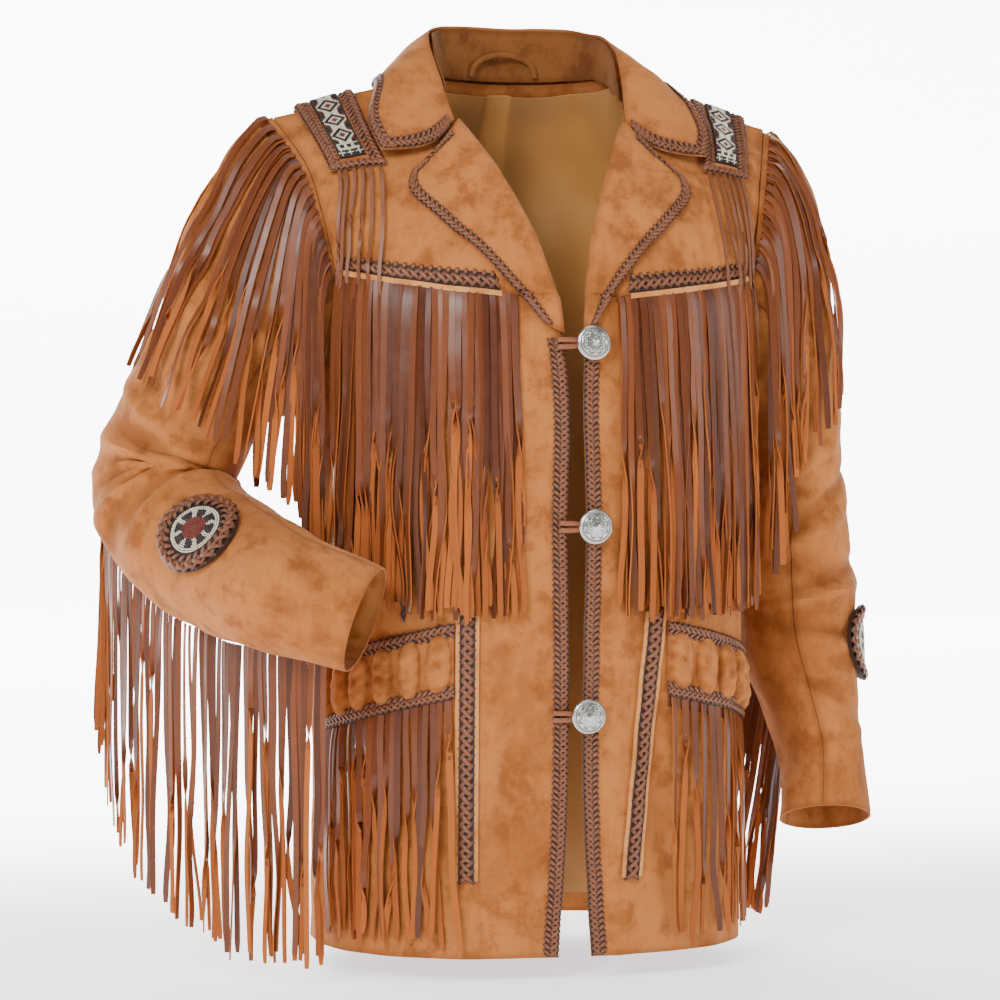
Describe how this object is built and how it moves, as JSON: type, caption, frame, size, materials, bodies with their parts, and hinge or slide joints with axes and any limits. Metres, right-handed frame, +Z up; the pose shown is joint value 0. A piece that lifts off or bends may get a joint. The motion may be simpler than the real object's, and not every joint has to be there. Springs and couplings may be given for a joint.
{
  "type": "western jacket",
  "caption": "Tan suede western jacket, worn form: fringed yokes, armholes, sleeves and pockets, laced lapels, beaded shoulder strips, elbow discs, domed buttons.",
  "frame": {"origin": "middle of the neck base, between the two neck ends of the shoulder seams, where the wearer's neck and shoulders carry the jacket", "axes": "metres, +Z up along the wearer's spine, the wearer faces -Y, the wearer's right hand is at -X"},
  "size_m": [0.6923, 0.38, 0.8278],
  "materials": {
    "suede": "matte brushed nap, mottled",
    "lacing_leather": "braided lacing, half gloss",
    "fringe_leather": "smooth grain outside, orange flesh side",
    "lining_satin": "satin weave",
    "bead_work": "small glossy beads in a charted pattern",
    "silver": "engraved, brushed bright"
  },
  "bodies": {
    "root": {"armhole_fringe_right": "fringe_leather", "bead_strip_right": "bead_work", "chest_fringe_right": "fringe_leather", "elbow_disc_right": "bead_work", "elbow_ring_right": "lacing_leather", "epaulet_right": "lacing_leather", "front_lacing_right": "lacing_leather", "front_panel_right": "suede", "front_yoke_right": "suede", "lapel_lacing_right": "lacing_leather", "lapel_right": "suede", "pocket_band_right": "suede", "pocket_cord_right": "lacing_leather", "pocket_fringe_right": "fringe_leather", "pocket_strip_right": "lacing_leather", "sleeve_fringe_right": "fringe_leather", "sleeve_top_right": "suede", "sleeve_under_right": "suede", "thongs_right": "lacing_leather", "yoke_braid_right": "lacing_leather", "armhole_fringe_left": "fringe_leather", "bead_strip_left": "bead_work", "chest_fringe_left": "fringe_leather", "elbow_disc_left": "bead_work", "elbow_ring_left": "lacing_leather", "epaulet_left": "lacing_leather", "front_lacing_left": "lacing_leather", "front_panel_left": "suede", "front_yoke_left": "suede", "lapel_lacing_left": "lacing_leather", "lapel_left": "suede", "pocket_band_left": "suede", "pocket_cord_left": "lacing_leather", "pocket_fringe_left": "fringe_leather", "pocket_strip_left": "lacing_leather", "sleeve_fringe_left": "fringe_leather", "sleeve_top_left": "suede", "sleeve_under_left": "suede", "thongs_left": "lacing_leather", "yoke_braid_left": "lacing_leather", "back_panel": "suede", "back_yoke": "suede", "collar_leaf": "suede", "collar_stand": "suede", "hanger_loop": "suede", "collar_lacing": "lacing_leather", "lining_back": "lining_satin", "button_1": "silver", "button_loop_1": "lacing_leather", "button_2": "silver", "button_loop_2": "lacing_leather", "button_3": "silver", "button_loop_3": "lacing_leather"}
  },
  "joints": []
}
